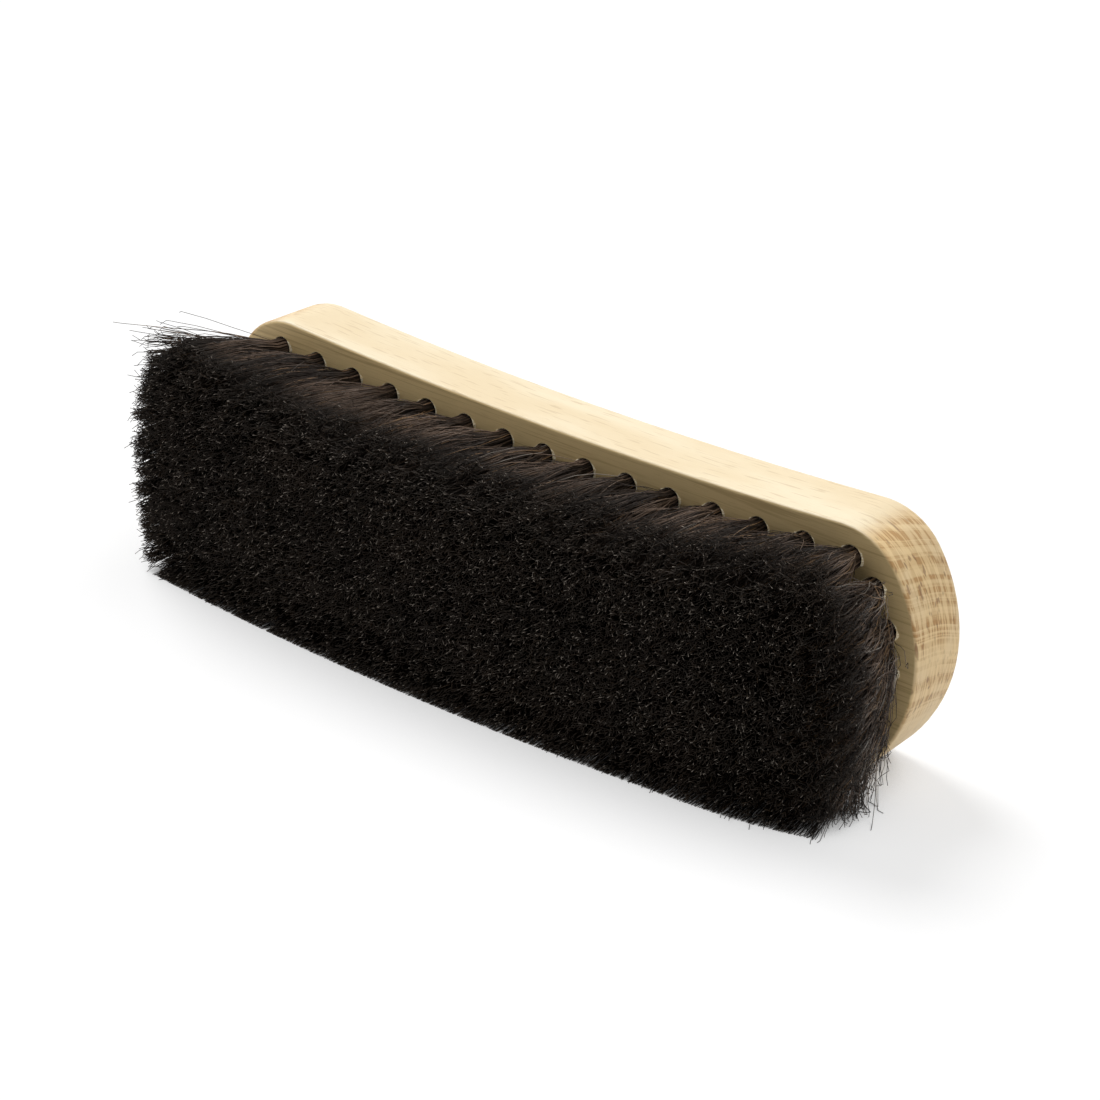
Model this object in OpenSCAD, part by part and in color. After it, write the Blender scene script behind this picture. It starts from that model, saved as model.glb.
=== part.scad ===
// Shoe shine brush: a waisted wooden block with tufts of horsehair.
// Each tuft is folded over a wire staple and driven into its own blind hole.
// Every piece is drawn with the block on its back and the hair pointing up (+Z),
// and lying() then lays the brush on its long side, as it is put down: length along X,
// hair towards -Y, row 1 uppermost, and the origin under the middle of the whole brush.

/* [Block] */
// Length of the block
block_len = 180; // [160:1:200]
// Width of the block at its two widest places
block_w = 53; // [48:0.5:60]
// Thickness of the block
block_t = 17.6; // [15:0.2:24]
// Depth of the waist in each long side
waist = 2.2; // [0.5:0.1:4]
// Radius of the arcs that join the long sides to the ends
corner_r = 15; // [11:0.5:19]
// How much larger than half the width the radius of each end's middle arc is
end_flat = 7.5; // [4:0.5:14]
// Rounding of the edge round the hair face
face_round = 0.6; // [0.4:0.1:2]
// Rounding of the edge round the back
back_round = 2.5; // [0.6:0.1:4]

/* [Holes] */
// Diameter of the tuft holes
hole_d = 5; // [4:0.1:5.8]
// Depth of the tuft holes
hole_depth = 9; // [7:0.5:10]
// Distance from the block's edge to the centres of the outer holes
edge_inset = 6.4; // [5:0.1:7.4]
// Wanted spacing of the holes along a row, which is rounded to fit the length
hole_pitch = 10.5; // [9:0.1:13]
// Distance from the last hole of a long row to the end of the block
end_zone = 16.8; // [15:0.1:18.4]
// Spacing of the five outer holes round each end
end_pitch = 8.2; // [7.4:0.1:8.6]
// Distance from the outer to the inner holes at each end
ring_gap = 7.4; // [6.4:0.1:8.2]
// Angle between the middle of each end and its inner holes, about the end arc's centre
inner_angle = 22; // [19:1:25]

/* [Hair] */
// Length of the hair outside the block where it is longest
hair_len = 33.5; // [20:0.5:45]
// Place along the block where the hair is longest
crown_x = -27; // [-40:1:40]
// How much the hair's length falls at half a block's length from there
trim_drop = 6.2; // [0:0.1:8]
// Width over the tips of the hair
hair_w = 52.4; // [44:0.2:52.8]
// Distance from the end of the block to the last hair tips
hair_setback = 0.5; // [0.2:0.1:4]
// Length at each end that the end tufts' tips fill
end_band = 10.4; // [9:0.1:12]
// How far the end tufts' tips stop short of the hair's sides
end_corner = 4.2; // [3:0.1:6]
// How far the ends of the hair are rounded back at its corners
end_round = 10; // [4:0.5:10]
// Gap between the tips of neighbouring strands
tip_gap = 0.6; // [0.3:0.1:1]
// Height share at which the outer strands bend, 0 at the block and 1 at the tips
bend_height = 0.42; // [0.3:0.02:0.6]
// Share of the spreading that the outer strands have done at the bend
bend_spread = 0.62; // [0.5:0.02:0.7]
// Clearance of a tuft in its hole, at the wall and at the floor
tuft_clear = 0.12; // [0.05:0.01:0.3]

/* [Staples] */
// Width of the flattened staple wire
wire_w = 0.8; // [0.5:0.1:1.2]
// Thickness of the flattened staple wire
wire_t = 0.6; // [0.4:0.1:0.9]
// Width of a staple over its legs
staple_w = 3.4; // [2.6:0.1:3.8]
// How far the legs bite into the wood under the hole
leg_bite = 4; // [2:0.5:5]
// Height of the fold's slot, in which the staple's crown lies
slot_h = 1.6; // [1.2:0.1:2.4]
// Clearance of a staple in the wood and in the fold
staple_clear = 0.05; // [0.02:0.01:0.15]

/* [Hidden] */

wood = "burlywood";
hair = [0.13, 0.1, 0.09];
steel = "silver";

rows = 5;
end_steps = 8;
corner_steps = 7;
crest_steps = 1;
waist_steps = 12;
round_steps = 4;
eps = 0.01;

half_l = block_len / 2;
half_w = block_w / 2;

// Block outline: at each end one wide arc, two corner arcs, and a hollow arc along each side.
end_r = half_w + end_flat;
end_cx = half_l - end_r;
corner_cy = half_w - corner_r;
corner_cx = end_cx + sqrt(pow(end_r - corner_r, 2) - pow(corner_cy, 2));
waist_r = (pow(corner_cx, 2) + pow(waist, 2)) / (2 * waist) - corner_r;
waist_cy = half_w - waist + waist_r;
end_turn = atan2(corner_cy, corner_cx - end_cx);
waist_turn = asin(corner_cx / (waist_r + corner_r));

// Arcs along half of the outline from the middle of the right end: [centre, radius, from, to, steps].
// A hollow arc has a negative radius. Corner arcs are split at their crests, the widest places.
half_arcs = [
  [[end_cx, 0], end_r, 0, end_turn, end_steps],
  [[corner_cx, corner_cy], corner_r, end_turn, 90, corner_steps],
  [[corner_cx, corner_cy], corner_r, 90, 90 + waist_turn, crest_steps],
  [[0, waist_cy], -waist_r, 90 + waist_turn, 90 - waist_turn, waist_steps],
  [[-corner_cx, corner_cy], corner_r, 90 - waist_turn, 90, crest_steps],
  [[-corner_cx, corner_cy], corner_r, 90, 180 - end_turn, corner_steps],
  [[-end_cx, 0], end_r, 180 - end_turn, 180, end_steps]
];

// The block's edge from the back to the hair face: how far it lies inside the outline, and how high
block_section = concat(
  [for (i = [0 : round_steps]) let (a = 90 * i / round_steps)
    [back_round * (1 - sin(a)), back_round * (1 - cos(a))]],
  [for (i = [0 : round_steps]) let (a = 90 * i / round_steps)
    [face_round * (1 - cos(a)), block_t - face_round * (1 - sin(a))]]
);

// Hole pattern: five rows, every other one set off by half a space, and a ring round each end.
row_half = half_l - end_zone;
spaces = round(row_half / hole_pitch);
pitch = row_half / spaces;
ring_r = end_r - edge_inset;
ring_turn = 2 * asin(end_pitch / 2 / ring_r);
hole_floor = block_t - hole_depth;

// Hair at the tips: a rectangle of cells for the rows, and a band of cells at each end.
row_tips_half = half_l - hair_setback - end_band;
tip_pitch = row_tips_half / (spaces + 0.5);
tip_row = hair_w / rows;
ring_tips = (hair_w - 2 * end_corner) / 5;

// Tuft root and staple
root_r = hole_d / 2 - tuft_clear;
root_foot = hole_floor + tuft_clear;
slot_roof = hole_floor + slot_h;
slot_half = wire_w / 2 + staple_clear;
slot_reach = root_r - slot_half * (sqrt(2) - 1);
crown_top = slot_roof - staple_clear;

function half_outline(inset) = [for (arc = half_arcs) each
  [for (k = [0 : arc[4] - 1]) let (a = arc[2] + (arc[3] - arc[2]) * k / arc[4])
    arc[0] + (arc[1] - inset) * [cos(a), sin(a)]]];

// Outline of the block, moved in by an inset. The second half is the first half turned half round.
function outline(inset) = concat(half_outline(inset), -half_outline(inset));

// Where the long side's edge runs
function side_edge(x) = waist_cy - sqrt(pow(waist_r, 2) - pow(x, 2));

// How long the hair is outside the block
function trim(x) = hair_len - trim_drop * pow((x - crown_x) / half_l, 2);

// Where the hair's end runs
function end_line(v) = half_l - hair_setback - end_round * pow(abs(v) / (hair_w / 2), 3);

// A tuft is [centre of its hole, the four corners of its cell at the tips, anticlockwise].
function cell(u0, u1, v0, v1) = [[u0, v0], [u1, v0], [u1, v1], [u0, v1]];

function row_tuft(row, n) =
  let (share = (rows + 1) / 2 - row, x = n * pitch)
  [
    [x, (side_edge(x) - edge_inset) * share * 2 / (rows - 1)],
    cell((n - 0.5) * tip_pitch, (n + 0.5) * tip_pitch, (share - 0.5) * tip_row, (share + 0.5) * tip_row)
  ];

function row_tufts(row) =
  let (set_off = row % 2 == 0 ? 0.5 : 0)
  [for (n = [-spaces + set_off : spaces - set_off]) row_tuft(row, n)];

function ring_tuft(n) =
  let (v0 = (n - 0.5) * ring_tips, v1 = (n + 0.5) * ring_tips)
  [
    [end_cx + ring_r * cos(n * ring_turn), ring_r * sin(n * ring_turn)],
    [[row_tips_half, v0], [end_line(v0), v0], [end_line(v1), v1], [row_tips_half, v1]]
  ];

function inner_tuft(side) =
  let (r = ring_r - ring_gap, v = side * tip_row)
  [
    [end_cx + r * cos(inner_angle), side * r * sin(inner_angle)],
    cell(spaces * tip_pitch, row_tips_half, v - tip_row / 2, v + tip_row / 2)
  ];

right_tufts = concat([for (n = [-2 : 2]) ring_tuft(n)], [inner_tuft(-1), inner_tuft(1)]);

// The left end is the right end turned half round.
left_tufts = [for (t = right_tufts) [-t[0], [for (i = [2, 3, 0, 1]) -t[1][i]]]];

// Point of a cell at shares s and t of its two sides
function cell_point(c, s, t) =
  let (low = c[0] + (c[1] - c[0]) * s, high = c[3] + (c[2] - c[3]) * s)
  low + (high - low) * t;

// The strand in quadrant q starts from a quarter of the root's octagon.
function root_quarter(hole, q) =
  concat([hole], [for (i = [0 : 2]) hole + root_r * [cos(90 * q + 45 * i), sin(90 * q + 45 * i)]]);

// It ends in a quarter of the cell, half a gap inside the cell's sides and the cell's middle lines.
function tip_quarter(c, q) =
  let (
    gs = tip_gap / 2 / norm(c[1] - c[0]),
    gt = tip_gap / 2 / norm(c[3] - c[0]),
    s = q == 0 || q == 3 ? [0.5 + gs, 1 - gs] : [0.5 - gs, gs],
    t = q < 2 ? [0.5 + gt, 1 - gt] : [0.5 - gt, gt],
    turns = q % 2 == 0 ? [[0, 0], [1, 0], [1, 1], [0, 1]] : [[0, 0], [0, 1], [1, 1], [1, 0]]
  )
  [for (k = turns) cell_point(c, s[k[0]], t[k[1]])];

// Four points of a strand at one height, where spread and height run from 0 at the root to 1 at the tip
function strand_ring(tuft, q, spread, height) =
  let (a = root_quarter(tuft[0], q), b = tip_quarter(tuft[1], q))
  [for (i = [0 : 3]) [
    (a[i] + (b[i] - a[i]) * spread).x,
    (a[i] + (b[i] - a[i]) * spread).y,
    block_t + trim(b[i].x) * height
  ]];

// Rings above the root: bent strands have one on the way to the tip.
function strand_rings(bent) = bent ? [[bend_spread, bend_height], [1, 1]] : [[1, 1]];

function octagon_point(hole, k, z) = [hole.x + root_r * cos(45 * k), hole.y + root_r * sin(45 * k), z];

// Root points: 0-7 mouth, 8 middle, 9-14 feet, 15-16 slot ends, 17-20 slot roof, 21-24 slot foot.
function root_points(hole) = concat(
  [for (k = [0 : 7]) octagon_point(hole, k, block_t)],
  [[hole.x, hole.y, block_t]],
  [for (k = [0, 1, 3, 4, 5, 7]) octagon_point(hole, k, root_foot)],
  [for (k = [2, 6]) octagon_point(hole, k, slot_roof)],
  [for (z = [slot_roof, root_foot]) each
    [for (d = [[1, 1], [-1, 1], [-1, -1], [1, -1]]) [hole.x + d.x * slot_half, hole.y + d.y * slot_reach, z]]]
);

// The root is an octagonal plug with a slot across its foot, where the hair folds round the staple.
root_faces = [
  [9, 10, 1], [9, 1, 0], [11, 12, 4], [11, 4, 3], [12, 13, 5], [12, 5, 4], [14, 9, 0], [14, 0, 7],
  [10, 21, 17], [10, 17, 1], [1, 17, 2], [17, 15, 2], [18, 22, 11], [18, 11, 3], [18, 3, 2], [18, 2, 15],
  [13, 23, 19], [13, 19, 5], [5, 19, 6], [19, 16, 6], [20, 24, 14], [20, 14, 7], [20, 7, 6], [20, 6, 16],
  [24, 20, 17], [24, 17, 21], [23, 22, 18], [23, 18, 19],
  [20, 16, 19], [20, 19, 18], [20, 18, 15], [20, 15, 17],
  [21, 10, 9], [21, 9, 14], [21, 14, 24], [23, 13, 12], [23, 12, 11], [23, 11, 22]
];
root_count = 25;

function tuft_points(tuft, bent) = concat(
  root_points(tuft[0]),
  [for (q = [0 : 3]) each [for (r = strand_rings(bent)) each strand_ring(tuft, q, r[0], r[1])]]
);

// Index of a strand's point: level 0 is the shared root, and the levels above are its own.
function strand_index(q, level, i, levels) =
  level > 0 ? root_count + (q * levels + level - 1) * 4 + i :
  i == 0 ? 8 : (2 * q + i - 1) % 8;

function strand_faces(q, levels) = concat(
  [for (level = [0 : levels - 1]) each [for (i = [0 : 3]) each
    let (
      j = (i + 1) % 4,
      a = strand_index(q, level, i, levels),
      b = strand_index(q, level, j, levels),
      c = strand_index(q, level + 1, j, levels),
      d = strand_index(q, level + 1, i, levels)
    )
    [[a, b, c], [a, c, d]]]],
  let (tip = [for (i = [0 : 3]) strand_index(q, levels, i, levels)])
  [[tip[0], tip[1], tip[2]], [tip[0], tip[2], tip[3]]]
);

function tuft_faces(levels) = concat(root_faces, [for (q = [0 : 3]) each strand_faces(q, levels)]);

module lying() {
  translate([0, (block_t + hair_len) / 2, half_w])
    rotate([90, 0, 0])
      children();
}

module solid_block() {
  levels = len(block_section);
  count = len(outline(0));
  polyhedron(
    points = [for (p = block_section) each [for (q = outline(p[0])) [q.x, q.y, p[1]]]],
    faces = concat(
      [[for (k = [0 : count - 1]) k]],
      [for (level = [0 : levels - 2]) each [for (k = [0 : count - 1])
        let (a = level * count + k, b = level * count + (k + 1) % count)
        [a, a + count, b + count, b]]],
      [[for (k = [0 : count - 1]) (levels - 1) * count + (count - k) % count]]
    )
  );
}

// Everything that is cut for one tuft: its hole, and under it the tight pockets of the staple's legs
module tuft_socket(hole) {
  translate([hole.x, hole.y, hole_floor])
    cylinder(d = hole_d, h = hole_depth + eps, $fn = 48);
  for (side = [-1, 1])
    translate([hole.x, hole.y + side * (staple_w - wire_t) / 2, hole_floor - leg_bite - staple_clear])
      leg_pocket();
}

module leg_pocket() {
  wide = wire_w + 2 * staple_clear;
  thick = wire_t + 2 * staple_clear;
  translate([-wide / 2, -thick / 2, 0])
    cube([wide, thick, leg_bite + 2 * staple_clear]);
}

module staple(hole) {
  out = staple_w / 2;
  foot = hole_floor - leg_bite;
  translate([hole.x - wire_w / 2, hole.y, 0])
    rotate([90, 0, 90])
      linear_extrude(wire_w)
        polygon([
          [-out, foot], [-out, crown_top], [out, crown_top], [out, foot],
          [out - wire_t, foot + wire_t], [out - wire_t, crown_top - wire_t],
          [wire_t - out, crown_top - wire_t], [wire_t - out, foot + wire_t]
        ]);
}

module block() {
  color(wood)
    lying()
      difference() {
        solid_block();
        for (row = [1 : rows])
          for (t = row_tufts(row))
            tuft_socket(t[0]);
        for (t = concat(left_tufts, right_tufts))
          tuft_socket(t[0]);
      }
}

// Tufts of one node as closed shells in one mesh
module tufts(list, bent) {
  levels = len(strand_rings(bent));
  count = root_count + 16 * levels;
  faces = tuft_faces(levels);
  color(hair)
    lying()
      polyhedron(
        points = [for (t = list) each tuft_points(t, bent)],
        faces = [for (k = [0 : len(list) - 1]) each [for (f = faces) [f[2], f[1], f[0]] + count * k * [1, 1, 1]]]
      );
}

module staples(list) {
  color(steel)
    lying()
      for (t = list)
        staple(t[0]);
}

module tufts_row(row) {
  tufts(row_tufts(row), row == 1 || row == rows);
}

block();
tufts_row(1);  // tufts_row_1
tufts_row(2);  // tufts_row_2
tufts_row(3);  // tufts_row_3
tufts_row(4);  // tufts_row_4
tufts_row(5);  // tufts_row_5
tufts(left_tufts, true);  // tufts_end_left
tufts(right_tufts, true);  // tufts_end_right
staples(row_tufts(1));  // staples_row_1
staples(row_tufts(2));  // staples_row_2
staples(row_tufts(3));  // staples_row_3
staples(row_tufts(4));  // staples_row_4
staples(row_tufts(5));  // staples_row_5
staples(left_tufts);  // staples_end_left
staples(right_tufts);  // staples_end_right
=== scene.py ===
import bmesh
import bpy
import math
import numpy as np
from mathutils import Matrix, Vector


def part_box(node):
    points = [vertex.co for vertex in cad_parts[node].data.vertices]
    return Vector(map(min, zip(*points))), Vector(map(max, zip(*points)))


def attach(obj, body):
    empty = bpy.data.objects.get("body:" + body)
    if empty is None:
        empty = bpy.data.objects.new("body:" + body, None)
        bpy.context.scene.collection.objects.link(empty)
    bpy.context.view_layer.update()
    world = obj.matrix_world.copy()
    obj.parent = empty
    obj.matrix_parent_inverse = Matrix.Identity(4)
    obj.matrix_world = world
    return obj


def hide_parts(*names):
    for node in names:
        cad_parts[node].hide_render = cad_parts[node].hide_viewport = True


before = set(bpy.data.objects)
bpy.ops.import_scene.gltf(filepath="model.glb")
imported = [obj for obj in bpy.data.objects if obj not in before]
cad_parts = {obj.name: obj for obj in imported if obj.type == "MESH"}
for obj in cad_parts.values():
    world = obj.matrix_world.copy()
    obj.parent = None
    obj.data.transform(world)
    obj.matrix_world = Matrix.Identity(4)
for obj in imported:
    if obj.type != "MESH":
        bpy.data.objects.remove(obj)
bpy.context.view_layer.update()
print("frame loaded:", len(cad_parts), "nodes")

# Shoe shine brush: a beech block with horsehair tufts, lying on its long side.
# The dictionaries hold millimetres and degrees, and mm turns millimetres into metres.
mm = 0.001
mergeDistance = 0.001 * mm
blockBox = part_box("block")
faceY = blockBox[0].y / mm      # plane of the hair face


# helpers for objects and meshes

def addObject(name, data):
    made = bpy.data.objects.new(name, data)
    bpy.context.scene.collection.objects.link(made)
    return made


def mergedCopy(nodeName):
    # a CAD node's mesh is loose triangles, so they are joined up in a copy
    shape = bmesh.new()
    shape.from_mesh(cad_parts[nodeName].data)
    bmesh.ops.remove_doubles(shape, verts=shape.verts, dist=mergeDistance)
    return shape


def finishMesh(shape, name):
    mesh = bpy.data.meshes.new(name)
    shape.to_mesh(mesh)
    shape.free()
    return mesh


def directionTo(azimuth, elevation):
    # azimuth 0 is in front of the hair, 90 beyond the right end
    turn, rise = math.radians(azimuth), math.radians(elevation)
    return Vector((math.sin(turn) * math.cos(rise), -math.cos(turn) * math.cos(rise), math.sin(rise)))


# helpers for materials

def addNode(tree, kind, sockets=None, **settings):
    made = tree.nodes.new(kind)
    for key, value in settings.items():
        setattr(made, key, value)
    for key, value in (sockets or {}).items():
        if isinstance(value, bpy.types.NodeSocket):
            tree.links.new(value, made.inputs[key])
        else:
            made.inputs[key].default_value = value
    return made


def newMaterial(name, **settings):
    material = bpy.data.materials.new(name)
    material.use_nodes = True
    shader = material.node_tree.nodes["Principled BSDF"]
    for key, value in settings.items():
        shader.inputs[key.replace("_", " ")].default_value = value
    return material, material.node_tree, shader


def calc(tree, operation, first, second=0.0, clamp=False):
    sockets = {0: first, 1: second}
    return addNode(tree, "ShaderNodeMath", sockets, operation=operation, use_clamp=clamp).outputs[0]


def fade(tree, value, low, high, start=0.0, end=1.0):
    sockets = {"Value": value, "From Min": low, "From Max": high, "To Min": start, "To Max": end}
    return addNode(tree, "ShaderNodeMapRange", sockets, interpolation_type="SMOOTHSTEP").outputs[0]


def blendColor(tree, share, first, second):
    # sockets 0, 6 and 7 of a colour Mix are its factor and the two colours
    sockets = {0: share}
    for slot, color in ((6, first), (7, second)):
        sockets[slot] = color if isinstance(color, bpy.types.NodeSocket) else (*color, 1.0)
    return addNode(tree, "ShaderNodeMix", sockets, data_type="RGBA").outputs[2]


def paint(tree, color, mask, share, over):
    # lays a colour over another where the mask is, only by the share
    return blendColor(tree, calc(tree, "MULTIPLY", mask, share), color, over)


def toned(tree, color, tone):
    return addNode(tree, "ShaderNodeVectorMath", {0: color, "Scale": tone}, operation="SCALE").outputs[0]


def makeGrain():
    # noise stretched along the axes, for wood, hair, torn fibres and drawn wire
    group = bpy.data.node_groups.new("grain", "ShaderNodeTree")
    for name in ("Coords", "Scale"):
        group.interface.new_socket(name, in_out="INPUT", socket_type="NodeSocketVector")
    for name in ("Detail", "Roughness"):
        group.interface.new_socket(name, in_out="INPUT", socket_type="NodeSocketFloat")
    group.interface.new_socket("Value", in_out="OUTPUT", socket_type="NodeSocketFloat")
    given = addNode(group, "NodeGroupInput").outputs
    sockets = {"Vector": given["Coords"], "Scale": given["Scale"]}
    place = addNode(group, "ShaderNodeMapping", sockets).outputs[0]
    sockets = {"Vector": place, "Scale": 1.0, "Detail": given["Detail"], "Roughness": given["Roughness"]}
    noise = addNode(group, "ShaderNodeTexNoise", sockets).outputs["Fac"]
    addNode(group, "NodeGroupOutput", {"Value": noise})
    return group


grain = makeGrain()


def stretched(tree, coords, size, detail=2.0, rough=0.5):
    # grain whose features are size (x, y, z) millimetres long
    scale = [1 / (side * mm) for side in size]
    sockets = {"Coords": coords, "Scale": scale, "Detail": detail, "Roughness": rough}
    return addNode(tree, "ShaderNodeGroup", sockets, node_tree=grain).outputs["Value"]


# camera, fitted to the photographed block

photoView = {
    "azimuth": 36.97,
    "elevation": 26.10,
    "roll": 3.33,
    "distance": 528.0,
    "target": (0.09, 11.71, 21.58),
    "lens": 83.186,
    "sensor": 36.0,
    "nearest": 10.0,        # what is nearer to the camera isn't drawn
}


def makeCamera(look):
    turn, roll = math.radians(look["azimuth"]), math.radians(look["roll"])
    back = directionTo(look["azimuth"], look["elevation"])
    level = Vector((math.cos(turn), math.sin(turn), 0))
    right = level * math.cos(roll) + back.cross(level) * math.sin(roll)
    place = Matrix((right, back.cross(right), back)).transposed().to_4x4()
    place.translation = (Vector(look["target"]) + back * look["distance"]) * mm
    camera = addObject("photoCamera", bpy.data.cameras.new("photoCamera"))
    camera.data.lens = look["lens"]
    camera.data.sensor_width = look["sensor"]
    camera.data.clip_start = look["nearest"] * mm
    camera.matrix_world = place
    bpy.context.scene.camera = camera


# studio: white floor, white world for the camera, soft lamps

studio = {
    "floorSize": 8000.0,
    "floorRough": 0.9,
    "floorBounce": 0.80,    # how light the floor is for the light that the object gets from it
    "floorShade": 0.43,     # how light it is for the camera, beside its glow: less makes paler shadows
    "floorGlow": 0.56,
    # the glow fades where the object shelters the floor
    "contact": {"reach": 35.0, "open": 0.55, "samples": 8},
    "worldLight": 0.30,
    "worldShown": 1.0,      # how light the world is for the camera
    "lamps": {
        "backLeft": {"azimuth": 254.0, "elevation": 52.0, "strength": 2.30, "angle": 28.0},
        "backRight": {"azimuth": 148.0, "elevation": 60.0, "strength": 0.80, "angle": 50.0},
        "endSide": {"azimuth": 88.0, "elevation": 34.0, "strength": 0.42, "angle": 70.0},
        "frontLeft": {"azimuth": 325.0, "elevation": 25.0, "strength": 0.36, "angle": 70.0},
    },
}


def seenDirectly(tree):
    # 1 for the camera, also by way of gloss and glass, and 0 for the light on the object
    rays = addNode(tree, "ShaderNodeLightPath").outputs
    direct = calc(tree, "MAXIMUM", rays["Is Camera Ray"], rays["Is Glossy Ray"])
    return calc(tree, "MAXIMUM", direct, rays["Is Transmission Ray"])


def makeFloor(look):
    shape = bmesh.new()
    bmesh.ops.create_grid(shape, x_segments=1, y_segments=1, size=look["floorSize"] / 2 * mm)
    floor = addObject("floor", finishMesh(shape, "floor"))
    material, tree, shader = newMaterial("floorWhite", Roughness=look["floorRough"], Specular_IOR_Level=0.0)
    shader.inputs["Emission Color"].default_value = (1, 1, 1, 1)
    direct = seenDirectly(tree)
    bounce, shade = (look[key] for key in ("floorBounce", "floorShade"))
    tree.links.new(blendColor(tree, direct, (bounce,) * 3, (shade,) * 3), shader.inputs["Base Color"])
    contact = look["contact"]
    reach = {"Distance": contact["reach"] * mm}
    shelter = addNode(tree, "ShaderNodeAmbientOcclusion", reach, samples=contact["samples"]).outputs["AO"]
    glow = calc(tree, "MULTIPLY", fade(tree, shelter, 0.0, contact["open"]), look["floorGlow"])
    tree.links.new(calc(tree, "MULTIPLY", direct, glow), shader.inputs["Emission Strength"])
    floor.data.materials.append(material)


def makeWorld(look):
    world = bpy.data.worlds.new("studio")
    bpy.context.scene.world = world
    world.use_nodes = True
    tree = world.node_tree
    background = tree.nodes["Background"]
    background.inputs["Color"].default_value = (1, 1, 1, 1)
    level = fade(tree, seenDirectly(tree), 0.0, 1.0, look["worldLight"], look["worldShown"])
    tree.links.new(level, background.inputs["Strength"])


def makeLamps(look):
    for name, lamp in look["lamps"].items():
        light = bpy.data.lights.new(name, "SUN")
        light.energy = lamp["strength"]
        light.angle = math.radians(lamp["angle"])
        toLamp = directionTo(lamp["azimuth"], lamp["elevation"])
        holder = addObject(name, light)
        holder.rotation_mode = "QUATERNION"
        holder.rotation_quaternion = toLamp.to_track_quat("Z", "Y")


makeCamera(photoView)
makeFloor(studio)
makeWorld(studio)
makeLamps(studio)
print("camera and studio ready")


# beech block

beechBlock = {
    "pale": (0.82, 0.71, 0.51),
    "warm": (0.73, 0.58, 0.36),
    "fleck": (0.50, 0.35, 0.18),
    "flat": (0.80, 0.60, 0.30),     # the hair face: partly its own colour, partly painted shade, darker and warmer as it lies in the hair's shade
    "flatShade": ((-80.0, 1.12), (80.0, 0.80)),     # painted shade on the hair face: lighter at the left end and darker towards the right, as the light falls from the left
    "backShare": 0.45,      # how much of that colour the back has: the back lies out of the hair's shade, so it gets less of the painted shade
    "streak": (0.46, 0.31, 0.13),
    "endPale": (0.76, 0.56, 0.29),
    "endBrown": (0.40, 0.205, 0.06),
    "endDark": (0.22, 0.10, 0.035),
    # how brown the end grain is by height: pale below, dark, a pale stripe, dark again above
    "endZones": (
        (0.0, 0.10), (15.0, 0.16), (19.0, 0.75), (25.0, 0.85),
        (27.5, 0.25), (30.0, 0.35), (33.0, 0.95), (50.0, 0.8),
    ),
    # growth rings lie nearly flat across the block's width, a little tilted and wavy
    "rings": {"width": 1.9, "tilt": 0.22, "detail": 3.0, "rough": 0.6, "shows": (0.40, 0.60)},
    "sway": {"height": 6.0, "size": (70, 26, 40), "detail": 1.0},
    "cloud": {"size": (34, 9, 12), "detail": 2.0, "shows": (0.35, 0.65)},
    # each pattern is a grain that shows between two of its levels
    "patterns": {
        "dashes": {"size": (7.0, 0.6, 24.0), "detail": 1.0, "rough": 0.5, "shows": (0.60, 0.70)},
        "ticks": {"size": (7.0, 0.60, 5.0), "detail": 1.0, "rough": 0.5, "shows": (0.44, 0.58)},
        "spots": {"size": (6.0, 1.1, 2.6), "detail": 1.0, "rough": 0.5, "shows": (0.62, 0.72)},
        "lines": {"size": (22.0, 3.0, 0.55), "detail": 2.0, "rough": 0.6, "shows": (0.50, 0.70)},
        "pores": {"size": (4.5, 0.12, 0.14), "detail": 1.0, "rough": 0.5, "shows": (0.58, 0.72)},
    },
    # how strongly they colour each kind of face, and how far a face turns before it is of that kind
    "onSides": {"cloud": 0.6, "bands": 0.15, "dashes": 0.38, "pores": 0.12},
    "onFlat": {"lines": 0.55, "pores": 0.25, "turned": (0.6, 0.95)},
    "onEnds": {"cloud": 0.5, "bands": 0.30, "ticks": 0.75, "spots": 0.8, "turned": (0.10, 0.45)},
    "ticksBetween": 0.45,       # how much of the ticks is left between the bands
    # how deep the dashes lie beside the pores, and how far both show in the light
    "relief": {"dashes": 0.4, "strength": 0.35, "depth": 0.05},
    "rough": (0.5, 0.65),       # on plain wood and in its pores
    "shine": 0.35,
    "smoothAngle": 40.0,
    "flatFace": 0.9998,     # faces squarer than this to the thickness are shaded flat
}


def growthRings(tree, place, axes, look):
    rings, sway = look["rings"], look["sway"]
    wavy = stretched(tree, place, sway["size"], sway["detail"])
    level = calc(tree, "MULTIPLY", axes["Z"], 1 / mm)
    level = calc(tree, "ADD", level, calc(tree, "MULTIPLY", axes["Y"], rings["tilt"] / mm))
    level = calc(tree, "ADD", level, calc(tree, "MULTIPLY", wavy, sway["height"]))
    sockets = {"W": calc(tree, "DIVIDE", level, rings["width"]), "Scale": 1.0}
    sockets.update({"Detail": rings["detail"], "Roughness": rings["rough"]})
    noise = addNode(tree, "ShaderNodeTexNoise", sockets, noise_dimensions="1D").outputs["Fac"]
    return fade(tree, noise, *rings["shows"])


def endZones(tree, height, zones):
    top = blockBox[1].z
    upwards = calc(tree, "MULTIPLY", height, 1 / top)
    ramp = addNode(tree, "ShaderNodeValToRGB", {"Fac": upwards})
    stops = ramp.color_ramp.elements
    stops.remove(stops[0])
    for number, (level, share) in enumerate(zones):
        stop = stops.new(1.0) if number else stops[0]
        stop.position = level * mm / top
        stop.color = (share, share, share, 1)
    return ramp.outputs["Color"]


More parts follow.
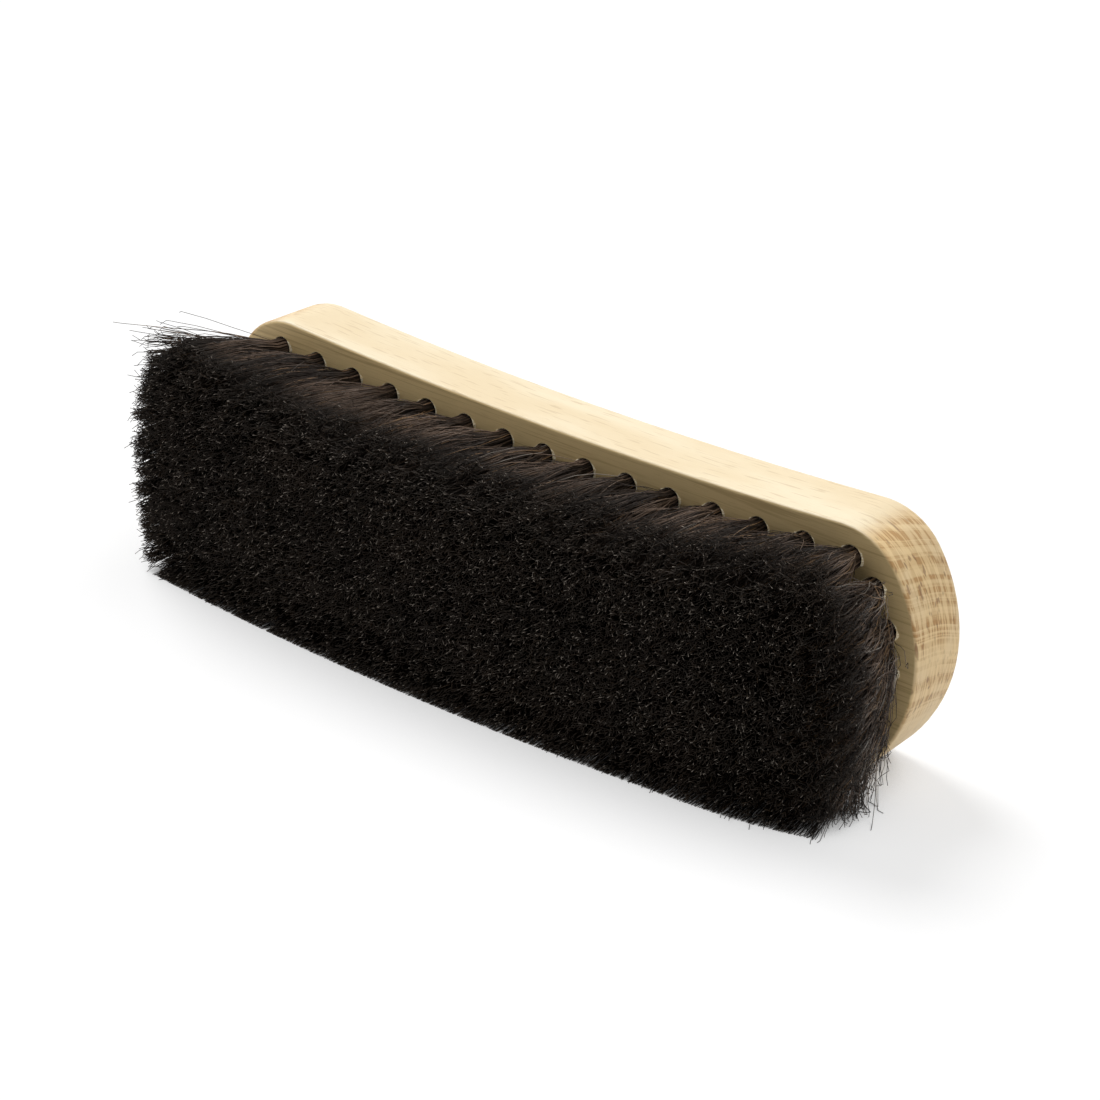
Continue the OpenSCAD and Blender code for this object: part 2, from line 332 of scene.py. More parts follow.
def beechMaterial(look):
    material, tree, shader = newMaterial("beech", Specular_IOR_Level=look["shine"])
    coords = addNode(tree, "ShaderNodeTexCoord").outputs
    place = coords["Object"]
    axes = addNode(tree, "ShaderNodeSeparateXYZ", {0: place}).outputs
    facing = addNode(tree, "ShaderNodeSeparateXYZ", {0: coords["Normal"]}).outputs
    onSides, onFlat, onEnds = look["onSides"], look["onFlat"], look["onEnds"]

    bands = growthRings(tree, place, axes, look)
    masks = {}
    for name, form in look["patterns"].items():
        noise = stretched(tree, place, form["size"], form["detail"], form["rough"])
        masks[name] = fade(tree, noise, *form["shows"])
    cloud = stretched(tree, place, look["cloud"]["size"], look["cloud"]["detail"])
    shows = look["cloud"]["shows"]

    # long sides: rays show as dashes
    clouded = fade(tree, cloud, *shows, 0.0, onSides["cloud"])
    color = blendColor(tree, clouded, look["pale"], look["warm"])
    color = paint(tree, color, bands, onSides["bands"], look["warm"])
    color = paint(tree, color, masks["dashes"], onSides["dashes"], look["fleck"])
    color = paint(tree, color, masks["pores"], onSides["pores"], look["fleck"])

    # hair face and, less so, the back: their own colour with painted shade, the hair face darker and warmer
    # as if in the hair's shade
    low, high = onFlat["turned"]
    hairSide = fade(tree, facing["Y"], -low, -high)
    backSide = fade(tree, facing["Y"], low, high, 0.0, look["backShare"])
    flatColorAndShade = paint(tree, look["flat"], masks["lines"], onFlat["lines"], look["streak"])
    flatColorAndShade = paint(tree, flatColorAndShade, masks["pores"], onFlat["pores"], look["streak"])
    # painted shade: the hair face grows darker from the left end to the right
    (leftEnd, leftTone), (rightEnd, rightTone) = look["flatShade"]
    tone = fade(tree, axes["X"], leftEnd * mm, rightEnd * mm, leftTone, rightTone)
    color = blendColor(tree, calc(tree, "ADD", hairSide, backSide), color, toned(tree, flatColorAndShade, tone))

    # round ends: rays show as ticks, and ticks and ring bands make a plaid
    woven = calc(tree, "MULTIPLY", masks["ticks"], fade(tree, bands, 0.0, 1.0, look["ticksBetween"], 1.0))
    woven = calc(tree, "MULTIPLY", woven, onEnds["ticks"])
    plaid = calc(tree, "ADD", calc(tree, "MULTIPLY", bands, onEnds["bands"]), woven, clamp=True)
    zone = endZones(tree, axes["Z"], look["endZones"])
    clouded = fade(tree, cloud, *shows, 0.0, onEnds["cloud"])
    endColor = blendColor(tree, clouded, look["endPale"], look["warm"])
    endColor = paint(tree, endColor, plaid, zone, look["endBrown"])
    spots = calc(tree, "MULTIPLY", masks["spots"], zone)
    endColor = paint(tree, endColor, spots, onEnds["spots"], look["endDark"])
    endFace = fade(tree, calc(tree, "ABSOLUTE", facing["X"]), *onEnds["turned"])
    tree.links.new(blendColor(tree, endFace, color, endColor), shader.inputs["Base Color"])

    relief = look["relief"]
    sunk = calc(tree, "ADD", calc(tree, "MULTIPLY", masks["dashes"], relief["dashes"]), masks["pores"])
    sockets = {"Height": sunk, "Strength": relief["strength"], "Distance": relief["depth"] * mm}
    bump = addNode(tree, "ShaderNodeBump", sockets, invert=True)
    tree.links.new(bump.outputs[0], shader.inputs["Normal"])
    deepest = 1 + relief["dashes"]
    tree.links.new(fade(tree, sunk, 0.0, deepest, *look["rough"]), shader.inputs["Roughness"])
    return material


def makeBlock(look):
    shape = mergedCopy("block")
    bmesh.ops.recalc_face_normals(shape, faces=shape.faces)
    mesh = finishMesh(shape, "beech_block")
    mesh.set_sharp_from_angle(angle=math.radians(look["smoothAngle"]))
    for polygon in mesh.polygons:
        polygon.use_smooth = abs(polygon.normal.y) < look["flatFace"]
    mesh.materials.append(beechMaterial(look))
    block = addObject("beech_block", mesh)
    flatter = block.modifiers.new("faceWeights", "WEIGHTED_NORMAL")
    flatter.keep_sharp = True
    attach(block, "root")
    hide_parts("block")


makeBlock(beechBlock)
print("block ready")


# horsehair: the outer tufts show from the side, the inner ones only their cut tips,
# and the right end's are matted

horsehair = {
    "perTuft": {"outer": 560, "inner": 660, "matted": 440},
    "steps": {
        "outer": (0.0, 0.10, 0.24, 0.44, 0.70, 0.955, 1.0),
        "inner": (0.50, 0.965, 1.0),
        "matted": (0.0, 0.06, 0.14, 0.25, 0.38, 0.52, 0.68, 0.84, 0.96, 1.0),
    },
    "thickness": 0.17,
    "tipShare": 0.8,        # share of the thickness left at the tip
    "holeScatter": 0.02,    # how unevenly the hairs stand in the hole, as a share of its radius

    # locks and, within them, finer wisps, which share a colour
    "locks": {"outer": 14, "inner": 30, "matted": 14},
    "lockPull": {"outer": 0.34, "inner": 0.22, "matted": 0.30},     # how far a lock closes up at the tip
    "pullVaries": (0.3, 1.0),
    "lockShift": {"outer": 0.35, "inner": 0.15, "matted": 0.5},
    "wisps": {"outer": 100, "inner": 80, "matted": 90},
    "wispPull": 0.45,       # how far a wisp closes up at the root
    "wispShift": 0.28,
    "tipScatter": 0.35,
    "trimScatter": 0.10,
    "tipCurl": 0.70,        # sideways turn of the last stretch

    # how a tuft fans out
    "overlap": 1.10,        # how far its tips reach over its neighbours'
    "spread": {"outer": 1.6, "inner": 2.0, "matted": 1.35},     # 1 fans evenly, more fans early
    "lockSpread": (0.75, 1.35),     # how that varies by lock and by hair
    "hairSpread": (0.8, 1.2),
    "tight": 0.08,          # share of the length over which it stays as tight as its hole

    # waves and frizz
    "wave": {"outer": 0.34, "inner": 0.34, "matted": 0.62},
    "waveVaries": (2.0, 0.5),       # most hairs wave little and a few much: shape and scale of that
    "beat": {"outer": (0.5, 1.3), "inner": (0.5, 1.3), "matted": (0.8, 2.2)},
    "phaseScatter": 0.9,
    "frizz": {"outer": 0.09, "inner": 0.09, "matted": 0.17},
    "wavesFrom": {"outer": 0.0, "inner": 0.0, "matted": 0.12},
    "wavesGrow": {"outer": 2.2, "inner": 2.2, "matted": 1.8},       # how fast they grow from there

    # hairs that cross the others, and how far, along the block and up
    "loose": {"outer": 0.12, "inner": 0.0, "matted": 0.12},
    "looseReach": (4.6, 1.4),
    "looseAtEnds": 0.28,    # share of that at the round ends
    "bend": 1.2,            # 1 leaves the tuft from the root, more turns off later

    # close to the floor
    "floorReach": 0.5,      # how much longer the lowest hairs are
    "floorPack": 2.4,       # 1 spaces the hairs evenly above the floor, more bunches them on it
    "floorLayer": 0.35,     # thickness of the bunched layer
    "calmHeight": 7.0,      # under this height over the floor the hairs lie straighter
    "leastCalm": 0.15,      # shares of their scatter and waves that are left on it
    "leastWave": 0.3,

    # how the cut face differs from the solids': its upper edge lies higher or lower along the length,
    # and the hairs near its rim are cut shorter, most of all along the top and round the right end
    "cutFace": {
        "along": (-88.0, -75.0, -45.0, 0.0, 45.0, 78.0, 90.0),
        "lift": (2.0, 2.9, -0.6, -2.0, -2.0, 0.6, 1.0),
        "liftFrom": 34.0,
        "liftOver": 17.0,
        "topDrop": (1.5, 2.5, 6.5, 8.0, 8.5, 8.5, 9.0),
        "middle": 26.5,
        "half": 26.2,
        "rimWidth": {"top": 10.0, "left": 10.0, "right": 22.0},
        "endDrop": {"left": 2.5, "right": 5.0},
        "endDropFrom": {"left": (4.0, 22.0), "right": (-8.0, 4.0)},     # it grows between these heights
        "endLine": (90.0, 10.0),        # half length at mid height, and how much less at the corners
        "splay": {"left": 2.5, "right": 9.0},       # how far the lowest hairs of an end spread outwards
        "splayAbove": {"left": 0.0, "right": 0.17},     # the share of that higher up
        "splayFrom": 52.0,
        "splayHeight": 9.0,
    },
    # how far the hairs of the end tufts lean outwards, and those inside a tuft as a share of that
    "endLean": {"left": 0.8, "right": -0.3, "inside": 0.35},
    # the right end's outer hairs droop and mat together: ranges of droop, sideways lean and length left,
    # of how far out a hair has to stand, and the share of its height that it droops at most
    "mat": {
        "share": 0.60,
        "outside": (-0.9, 0.6),
        "droop": (0.0, 13.0),
        "deepest": 0.8,
        "lean": (-3.0, 0.0),
        "length": (0.35, 0.85),
    },
    # hairs that leave the cut outline: where they end, how many of those there, which way they go,
    # how that varies, and what share of their length still points away from the block
    "strays": [
        {"at": (-82, 52), "within": 8, "share": 0.07,
         "push": (-5.0, 4.2), "vary": (2.0, 1.3), "reach": 0.95},
        {"at": (-88, 30), "within": 24, "share": 0.03,
         "push": (-0.5, 0.5), "vary": (0.6, 1.0), "reach": 0.97},
        {"at": (90, 24), "within": 28, "share": 0.04,
         "push": (-0.5, -12.0), "vary": (1.0, 5.0), "reach": 0.60},
        {"at": (88, 6), "within": 12, "share": 0.02,
         "push": (1.0, -3.0), "vary": (1.2, 1.5), "reach": 0.60},
        {"at": (0, 52), "within": 95, "share": 0.012,
         "push": (0.0, 1.2), "vary": (2.4, 1.4), "reach": 0.9},
    ],
    "strayBend": 1.15,
    "strayLength": (0.8, 1.1),

    # colours
    "dark": (0.0150, 0.0105, 0.0085),
    "brown": (0.200, 0.138, 0.100),
    "tan": (0.26, 0.16, 0.085),
    "grey": (0.25, 0.22, 0.19),
    # pale cut ends: partly their own colour, partly a painted glint
    "cutTip": (0.32, 0.28, 0.24),
    # the matted end's hairs are paler, with more tan and grey: partly their own colour, partly painted
    # sheen for the light that falls on the right end
    "tanShare": {"outer": 0.030, "inner": 0.030, "matted": 0.16},
    "greyShare": {"outer": 0.005, "inner": 0.005, "matted": 0.10},
    "gloss": (1.0, 0.82, 0.68),
    "shine": 0.22,
    "rough": (0.54, 0.30),      # from the darkest hairs to the palest
    "patch": {"size": (22, 22, 16), "shows": (0.50, 0.68), "share": 0.30},      # browner patches

    # a hair's tint runs from dark to brown up to plain, and beyond that stands for tan and grey
    "tint": {"plain": 0.94, "tan": 0.97, "grey": 1.0},
    "tintFrom": {"hair": 0.32, "wisp": 0.43, "lock": 0.25},
    "tuftTint": 0.10,       # how tufts differ
    # painted sheen: the matted hairs are tinted paler
    "moreTint": {"outer": 0.0, "inner": 0.0, "matted": 0.06},
    "looseDark": 0.6,       # loose hairs are this share as dark
    "looseOdd": 0.5,        # less makes more of them tan and grey
    "brownBetween": (0.44, 0.86),
    "mostBrown": 0.95,
    "tanBetween": (0.955, 0.965),
    "greyBetween": (0.985, 0.99),

    # painted shade: towards the tip a hair gets darker, for the shade deep in the hair mass; and some cut
    # ends are pale, partly their own colour and partly a painted glint
    "shadeBetween": (0.70, 0.95),
    "tipShade": 0.11,       # how much of its colour is left
    "cutBetween": (0.980, 0.998),
    "paleEnds": {"times": 61.0, "shows": (0.88, 0.98)},
}


def readTufts(nodeName):
    # each tuft's hole, how deep it stands in it, and the corners of its cut end,
    # in mm as x, z and height over the hair face
    shape = mergedCopy(nodeName)
    margin = mergeDistance / mm
    tipsFrom = 0.7      # share of the length
    seen, tufts = set(), []
    for start in shape.verts:
        if start in seen:
            continue
        seen.add(start)
        island, queue = [], [start]
        while queue:
            vert = queue.pop()
            island.append(vert.co / mm)
            for edge in vert.link_edges:
                other = edge.other_vert(vert)
                if other not in seen:
                    seen.add(other)
                    queue.append(other)
        points = np.array([(point.x, point.z, faceY - point.y) for point in island])
        root = points[points[:, 2] < -margin]
        tips = points[points[:, 2] > points[:, 2].max() * tipsFrom]
        spanned = (tips[:, :2] - tips[:, :2].mean(0)) / (tips[:, :2].max(0) - tips[:, :2].min(0))
        corners = [tips[np.argmax(spanned @ way)] for way in ((-1, -1), (1, -1), (1, 1), (-1, 1))]
        tufts.append({
            "hole": (root[:, :2].min(0) + root[:, :2].max(0)) / 2,
            "radius": (root[:, 0].max() - root[:, 0].min()) / 2,
            "foot": root[:, 2].min(),
            "corners": np.array(corners),
        })
    shape.free()
    return sorted(tufts, key=lambda tuft: tuft["hole"][0])


tuftNodes = {name: readTufts(name) for name in sorted(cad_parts) if name.startswith("tufts_")}
print("tufts read:", sum(map(len, tuftNodes.values())))


def cellPoint(corners, s, t):
    low = corners[0] + (corners[1] - corners[0]) * s[:, None]
    high = corners[3] + (corners[2] - corners[3]) * s[:, None]
    return low + (high - low) * t[:, None]


def shapeCut(tip, look):
    x, z = tip[:, 0], tip[:, 1]
    side = "left" if x.mean() < 0 else "right"
    upper = np.clip((z - look["liftFrom"]) / look["liftOver"], 0, 1)
    rise = np.interp(x, look["along"], look["lift"]) * upper

    # shorter near the top and the ends
    top = look["middle"] + look["half"]
    nearTop = np.clip(1 - (top - z) / look["rimWidth"]["top"], 0, 1)
    full, less = look["endLine"]
    line = full - less * np.abs((z - look["middle"]) / look["half"]) ** 3
    nearEnd = np.clip(1 - (line - np.abs(x)) / look["rimWidth"][side], 0, 1)
    lowest, highest = look["endDropFrom"][side]
    endDrop = look["endDrop"][side] * np.clip((z - lowest) / (highest - lowest), 0, 1)
    topDrop = np.interp(x, look["along"], look["topDrop"])
    drop = np.maximum(topDrop * nearTop ** 2, endDrop * nearEnd ** 2)

    # spread outwards, most of all on the floor
    outwards = np.clip((np.abs(x) - look["splayFrom"]) / (full - look["splayFrom"]), 0, 1)
    above = look["splayAbove"][side]
    lowShare = above + (1 - above) * np.clip(1 - z / look["splayHeight"], 0, 1) ** 1.5
    tip[:, 0] += np.sign(x) * look["splay"][side] * outwards * lowShare
    tip[:, 1] += rise
    tip[:, 2] -= drop


def standInHole(count, look, rng):
    # places of the hairs on a disc, and on a square for the cut face
    number = np.arange(count)
    reach = np.sqrt((number + 0.5) / count)
    goldenAngle = math.pi * (3 - math.sqrt(5))
    turn = number * goldenAngle + rng.uniform(0, 2 * math.pi)
    disc = np.column_stack((np.cos(turn), np.sin(turn))) * reach[:, None]
    disc += rng.normal(0, look["holeScatter"], disc.shape)
    square = disc * (np.linalg.norm(disc, axis=1) / np.abs(disc).max(axis=1))[:, None]
    return disc, square


def placeTips(corners, square, look, rng):
    # tips fill the tuft's cell and bunch on the floor, where what follows moves them less
    cell = 0.5 + 0.5 * square * look["overlap"]
    tip = cellPoint(corners, cell[:, 0], cell[:, 1])
    calm = np.clip(tip[:, 1] / look["calmHeight"], look["leastCalm"], 1)[:, None]
    rise = np.clip(tip[:, 1] / look["calmHeight"], 0, 1)
    layer = rng.uniform(0, look["floorLayer"], len(tip)) * (1 - rise)
    packed = look["calmHeight"] * rise ** look["floorPack"] + layer
    tip[:, 1] = np.where(rise < 1, packed, tip[:, 1])
    tip[:, 2] += look["floorReach"] * (1 - rise)
    return tip, calm


def nearestLeader(disc, leaders):
    # number of the leader that each hair stands nearest to
    return np.argmin(np.linalg.norm(disc[:, None] - disc[leaders][None], axis=2), axis=1)


def waveHairs(flat, along, lock, calm, look, rng, kind):
    # waves are shared in part by the hairs of a lock
    count = len(flat)
    phase = rng.uniform(0, 2 * math.pi, look["locks"][kind])[lock][:, None]
    phase = phase + rng.normal(0, look["phaseScatter"], (count, 1))
    beat = rng.uniform(*look["beat"][kind], (count, 1))
    least = look["leastWave"]
    size = look["wave"][kind] * rng.gamma(*look["waveVaries"], (count, 1)) * (least + (1 - least) * calm)
    swing = np.sin(phase + along[None] * beat * 2 * math.pi) - np.sin(phase)
    heading = rng.uniform(0, 2 * math.pi, (count, 1, 1))
    sideways = np.concatenate((np.cos(heading), np.sin(heading)), axis=2)
    envelope = np.clip((along - look["wavesFrom"][kind]) * look["wavesGrow"][kind], 0, 1)[None, :, None]
    flat += sideways * (size * swing)[:, :, None] * envelope
    flat += rng.normal(0, look["frizz"][kind], flat.shape) * envelope
    flat[:, -1] += rng.normal(0, look["tipCurl"], (count, 2)) * calm


def matHairs(flat, along, outward, tip, look, rng):
    # the hairs that mat, and the share of its length that each keeps
    mat, count = look["mat"], len(flat)
    picked = (rng.random(count) < mat["share"]) & (outward > rng.uniform(*mat["outside"], count))
    droop = np.minimum(rng.uniform(*mat["droop"], count), tip[:, 1] * mat["deepest"])
    sag = np.column_stack((rng.uniform(*mat["lean"], count), -droop))
    flat += picked[:, None, None] * sag[:, None] * (along ** look["bend"])[None, :, None]
    return np.where(picked, rng.uniform(*mat["length"], count), 1.0)


def pushStrays(flat, along, length, tip, look, rng):
    count = len(flat)
    for stray in look["strays"]:
        near = np.hypot(tip[:, 0] - stray["at"][0], tip[:, 1] - stray["at"][1]) < stray["within"]
        picked = near & (rng.random(count) < stray["share"])
        push = np.array(stray["push"]) + rng.normal(0, 1, (count, 2)) * stray["vary"]
        flat += picked[:, None, None] * push[:, None] * (along ** look["strayBend"])[None, :, None]
        cut = length * stray["reach"] * rng.uniform(*look["strayLength"], count)
        length = np.where(picked, cut, length)
    return length


def tintHairs(lock, wisp, loose, look, rng, kind):
    source, level, count = look["tintFrom"], look["tint"], len(lock)
    tint = source["hair"] * rng.random(count)
    tint += source["wisp"] * rng.random(look["wisps"][kind])[wisp]
    tint += source["lock"] * rng.random(look["locks"][kind])[lock]
    tint += rng.uniform(-look["tuftTint"], look["tuftTint"]) + look["moreTint"][kind]
    tint = np.clip(np.where(loose, 1 - (1 - tint) * look["looseDark"], tint), 0, 1) * level["plain"]
    odd = rng.random(count) * np.where(loose, look["looseOdd"], 1.0)
    tint = np.where(odd < look["tanShare"][kind], level["tan"], tint)
    return np.where(odd < look["greyShare"][kind], level["grey"], tint)


def growTuft(tuft, look, rng, kind, end):
    count, locks, wisps = (look[key][kind] for key in ("perTuft", "locks", "wisps"))
    along = np.array(look["steps"][kind])
    disc, square = standInHole(count, look, rng)
    tip, calm = placeTips(tuft["corners"], square, look, rng)

    # tips are pulled together in locks and scattered
    leaders = rng.choice(count, locks, replace=False)
    lock = nearestLeader(disc, leaders)
    pull = look["lockPull"][kind] * rng.uniform(*look["pullVaries"], locks)[lock][:, None]
    shift = rng.normal(0, look["lockShift"][kind], (locks, 2))[lock]
    tip[:, :2] += ((tip[leaders][lock][:, :2] - tip[:, :2]) * pull + shift) * calm
    leaders = rng.choice(count, wisps, replace=False)
    wisp = nearestLeader(disc, leaders)
    tip[:, :2] += rng.normal(0, look["wispShift"], (wisps, 2))[wisp] * calm
    tip[:, :2] += rng.normal(0, look["tipScatter"], (count, 2)) * calm
    tip[:, 2] += rng.normal(0, look["trimScatter"], count) * calm[:, 0]
    shapeCut(tip, look["cutFace"])

    # roots close up in wisps, and the hairs fan out from them
    gathered = disc + (disc[leaders][wisp] - disc) * look["wispPull"]
    root = tuft["hole"] + gathered / (1 + look["holeScatter"]) * (tuft["radius"] - look["thickness"] / 2)
    power = look["spread"][kind] * rng.uniform(*look["lockSpread"], locks)[lock]
    power = power * rng.uniform(*look["hairSpread"], count)
    fanned = np.clip((along - look["tight"]) / (1 - look["tight"]), 0, 1)
    share = 1 - (1 - fanned[None]) ** power[:, None]
    flat = root[:, None] + (tip[:, None, :2] - root[:, None]) * share[:, :, None]
    waveHairs(flat, along, lock, calm, look, rng, kind)

    # loose hairs cross the others, and those of the ends lean outwards
    loose = rng.random(count) < look["loose"][kind]
    wander = rng.normal(0, 1, (count, 2)) * look["looseReach"] * (look["looseAtEnds"] if end else 1.0)
    flat += loose[:, None, None] * wander[:, None] * (fanned ** look["bend"])[None, :, None]
    outward = disc[:, 0] * end
    if end:
        inside = look["endLean"]["inside"]
        lean = look["endLean"]["right" if end > 0 else "left"]
        lean = lean * (inside + (1 - inside) * np.clip(outward, 0, 1))
        flat[:, :, 0] += end * lean[:, None] * (1 - (1 - along[None]) ** 2)
    length = matHairs(flat, along, outward, tip, look, rng) if kind == "matted" else np.ones(count)
    length = pushStrays(flat, along, length, tip, look, rng)

    height = (tip[:, 2] * length)[:, None] * along[None]
    path = np.concatenate((flat, height[:, :, None]), axis=2)
    foot = np.column_stack((root, np.full(count, tuft["foot"])))
    return np.concatenate((foot[:, None], path), axis=1), tintHairs(lock, wisp, loose, look, rng, kind)


def hairSection():
    # three-sided section that every hair is swept with
    curve = bpy.data.curves.new("hairSection", "CURVE")
    spline = curve.splines.new("POLY")
    spline.points.add(2)
    corners = (90, 330, 210)
    for point, angle in zip(spline.points, corners):
        turn = math.radians(angle)
        point.co = (math.cos(turn) * mm, math.sin(turn) * mm, 0, 1)
    spline.use_cyclic_u = True
    return addObject("hairSection", curve)


def makeHair(name, nodeName, strands, tint, section, material, look):
    # the section is swept along every hair
    curve = bpy.data.curves.new(name + "_paths", "CURVE")
    curve.dimensions = "3D"
    curve.bevel_mode = "OBJECT"
    curve.bevel_object = section
    count, points = strands.shape[:2]
    world = np.ones((count, points, 4))
    world[:, :, 0] = strands[:, :, 0] * mm
    world[:, :, 1] = (faceY - strands[:, :, 2]) * mm
    world[:, :, 2] = np.maximum(strands[:, :, 1], look["thickness"] / 2) * mm
    radius = look["thickness"] / 2 * np.linspace(1, look["tipShare"], points)
    for path in world:
        spline = curve.splines.new("POLY")
        spline.points.add(points - 1)
        spline.points.foreach_set("co", path.ravel())
        spline.points.foreach_set("radius", radius)
    sweep = addObject(name + "_paths", curve)
    bpy.context.view_layer.update()
    mesh = bpy.data.meshes.new_from_object(sweep.evaluated_get(bpy.context.evaluated_depsgraph_get()))
    bpy.data.objects.remove(sweep)
    bpy.data.curves.remove(curve)
    mesh.name = name

    # the material reads each hair's tint, and how far along it a point is
    sides = len(mesh.vertices) // (count * points)
    along = np.clip(strands[:, :, 2] / strands[:, -1:, 2], 0, 1).ravel()
    mesh.attributes.new("tint", "FLOAT", "POINT").data.foreach_set("value", np.repeat(tint, sides * points))
    mesh.attributes.new("along", "FLOAT", "POINT").data.foreach_set("value", np.repeat(along, sides))

    # both ends are closed
    shape = bmesh.new()
    shape.from_mesh(mesh)
    bmesh.ops.edgeloop_fill(shape, edges=[edge for edge in shape.edges if edge.is_boundary])
    bmesh.ops.recalc_face_normals(shape, faces=shape.faces)
    shape.to_mesh(mesh)
    shape.free()
    mesh.materials.clear()
    mesh.materials.append(material)
    hair = addObject(name, mesh)
    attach(hair, "root")
    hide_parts(nodeName)
    return mesh


def horsehairMaterial(look):
    material, tree, shader = newMaterial("horsehair", Specular_IOR_Level=look["shine"])
    shader.inputs["Specular Tint"].default_value = (*look["gloss"], 1)
    place = addNode(tree, "ShaderNodeTexCoord").outputs["Object"]
    tint = addNode(tree, "ShaderNodeAttribute", attribute_name="tint").outputs["Fac"]
    along = addNode(tree, "ShaderNodeAttribute", attribute_name="along").outputs["Fac"]

    patch = look["patch"]
    browner = fade(tree, stretched(tree, place, patch["size"]), *patch["shows"], 0.0, patch["share"])
    color = blendColor(tree, browner, look["dark"], look["brown"])
    brown = fade(tree, tint, *look["brownBetween"], 0.0, look["mostBrown"])
    color = blendColor(tree, brown, color, look["brown"])
    color = blendColor(tree, fade(tree, tint, *look["tanBetween"]), color, look["tan"])
    color = blendColor(tree, fade(tree, tint, *look["greyBetween"]), color, look["grey"])
    # painted shade: each hair darker towards its tip, for the shade deep in the hair mass that the cut face
    # shows
    color = toned(tree, color, fade(tree, along, *look["shadeBetween"], 1.0, look["tipShade"]))

    # the last digits of the tint pick the hairs whose cut end is pale: partly the cut ends' own paler
    # colour, partly a painted glint of light on the tips
    ends = look["paleEnds"]
    digits = calc(tree, "FRACT", calc(tree, "MULTIPLY", tint, ends["times"]))
    cutEnd = fade(tree, along, *look["cutBetween"])
    color = paint(tree, color, cutEnd, fade(tree, digits, *ends["shows"]), look["cutTip"])
    tree.links.new(color, shader.inputs["Base Color"])
    tree.links.new(fade(tree, tint, 0.0, 1.0, *look["rough"]), shader.inputs["Roughness"])
    return material


def makeBrushHair(look):
    section = hairSection()
    material = horsehairMaterial(look)
    total = 0
    for nodeName, tufts in tuftNodes.items():
        rng = np.random.default_rng(sum(map(ord, nodeName)))     # each row has its own draws
        end = {"left": -1, "right": 1}.get(nodeName.split("_")[-1], 0)      # 0 for a row
        edgeRow = nodeName[-1] in "15"      # next to a long side
        kind = "matted" if end > 0 else "outer" if end or edgeRow else "inner"
        parts = 2 if edgeRow else 1     # a long row of outer tufts makes two pieces
        for part, group in enumerate(np.array_split(np.array(tufts, dtype=object), parts)):
            grown = [growTuft(tuft, look, rng, kind, end) for tuft in group]
            strands, tint = (np.concatenate(side) for side in zip(*grown))
            name = nodeName.replace("tufts", "hair") + ("" if parts == 1 else "ab"[part])
            mesh = makeHair(name, nodeName, strands, tint, section, material, look)
            mesh.calc_loop_triangles()
            total += len(mesh.loop_triangles)
            print(name, len(group), "tufts,", len(mesh.loop_triangles), "triangles,", total, "so far")
    bpy.data.objects.remove(section)


makeBrushHair(horsehair)
print("hair ready")


# torn fibres round the drilled holes, raised at both sides along the grain

holeBurr = {
    "gap": 0.05,            # between a tuft and its burr
    "width": 0.80,
    "height": 0.60,
    "crest": 0.3,           # where across its width it is highest
    "steps": 20,
    "chips": (0.35, 1.2),   # how much of its size is left from step to step
    "wane": 0.3,            # how soon it wanes across the grain, and what is left there
    "least": 0.04,
    "seed": 5,
    # the torn fibres are paler than the block, and painted paler still as a painted highlight for the light
    # they catch
    "pale": (0.92, 0.85, 0.66),
    "shaded": (0.66, 0.52, 0.31),
    "fibres": {"size": (1.2, 0.3, 0.25), "shows": (0.40, 0.62)},
    "rough": 0.8,
    "shine": 0.2,
}


def burrMaterial(look):
    gloss = {"Roughness": look["rough"], "Specular_IOR_Level": look["shine"]}
    material, tree, shader = newMaterial("torn_fibre", **gloss)
    place = addNode(tree, "ShaderNodeTexCoord").outputs["Object"]
    fibres = fade(tree, stretched(tree, place, look["fibres"]["size"]), *look["fibres"]["shows"])
    # the pale fibres carry a painted highlight
    tree.links.new(blendColor(tree, fibres, look["shaded"], look["pale"]), shader.inputs["Base Color"])
    return material


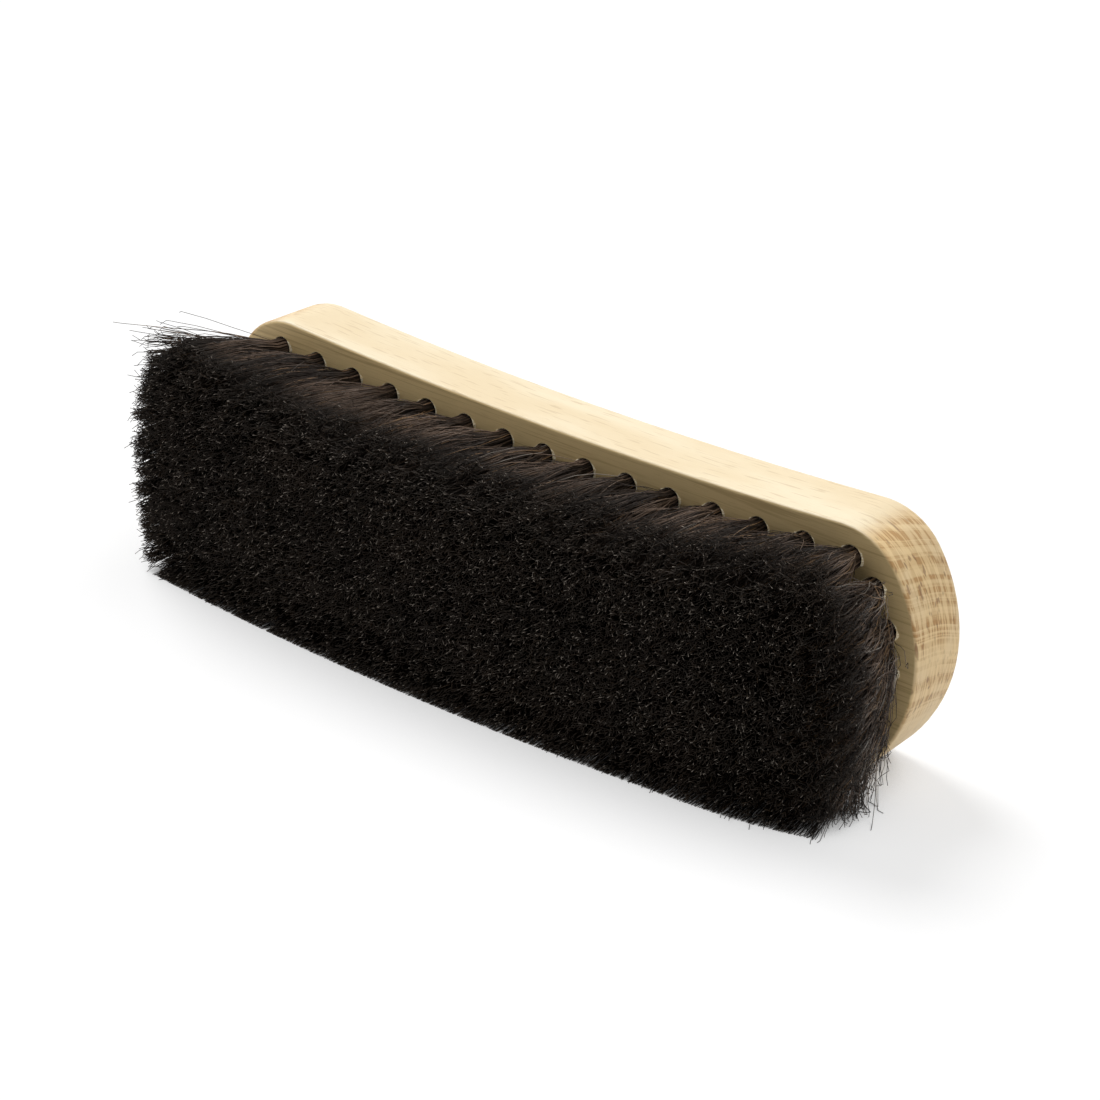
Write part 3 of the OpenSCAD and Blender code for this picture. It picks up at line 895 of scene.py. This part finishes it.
def makeBurrs(look):
    rng = np.random.default_rng(look["seed"])
    gap, width, steps = look["gap"], look["width"], look["steps"]
    profile = ((gap, 0.0), (gap + width * look["crest"], look["height"]), (gap + width, 0.0))
    shape = bmesh.new()
    for tuft in sum(tuftNodes.values(), []):
        x, z = tuft["hole"]
        inner = (tuft["radius"] + gap) * mm
        before = len(shape.verts)
        corners = []
        for out, up in profile:
            place = ((x + tuft["radius"] + out) * mm, (faceY - up) * mm, z * mm)
            corners.append(shape.verts.new(place))
        sides = [shape.edges.new((corners[k - 1], corners[k])) for k in range(3)]
        bmesh.ops.spin(shape, geom=corners + sides, cent=(x * mm, 0, z * mm), axis=(0, 1, 0),
                       angle=2 * math.pi, steps=steps, use_merge=True)
        chips = rng.uniform(*look["chips"], steps)
        for vert in list(shape.verts)[before:]:
            center = Vector((x * mm, vert.co.y, z * mm))
            across = (vert.co - center).normalized()
            step = round(math.atan2(across.z, across.x) / (2 * math.pi) * steps) % steps
            share = max(across.x ** 2 - look["wane"], look["least"]) * chips[step]
            vert.co = center + across * (inner + ((vert.co - center).length - inner) * share)
            vert.co.y = faceY * mm + (vert.co.y - faceY * mm) * share
    bmesh.ops.recalc_face_normals(shape, faces=shape.faces)
    mesh = finishMesh(shape, "hole_burrs")
    mesh.materials.append(burrMaterial(look))
    burrs = addObject("hole_burrs", mesh)
    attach(burrs, "root")


makeBurrs(holeBurr)
print("burrs ready")


# staples

stapleWire = {
    "steel": (0.55, 0.55, 0.56),
    "dull": 0.6,            # tone of the lines that drawing the wire leaves
    "rough": (0.32, 0.52),
    "lines": {"size": (0.05, 1.5, 0.05), "shows": (0.4, 0.7), "rougher": (0.3, 0.7)},
}


def stapleMaterial(look):
    material, tree, shader = newMaterial("staple_steel", Metallic=1.0)
    place = addNode(tree, "ShaderNodeTexCoord").outputs["Object"]
    lines = look["lines"]
    drawn = stretched(tree, place, lines["size"])
    dulled = tuple(part * look["dull"] for part in look["steel"])
    color = blendColor(tree, fade(tree, drawn, *lines["shows"]), look["steel"], dulled)
    tree.links.new(color, shader.inputs["Base Color"])
    tree.links.new(fade(tree, drawn, *lines["rougher"], *look["rough"]), shader.inputs["Roughness"])
    return material


wire = stapleMaterial(stapleWire)
for nodeName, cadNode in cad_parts.items():
    if nodeName.startswith("staples_"):
        cadNode.data.materials.clear()
        cadNode.data.materials.append(wire)
print("staples ready")

bpy.context.scene.view_settings.view_transform = "Standard"
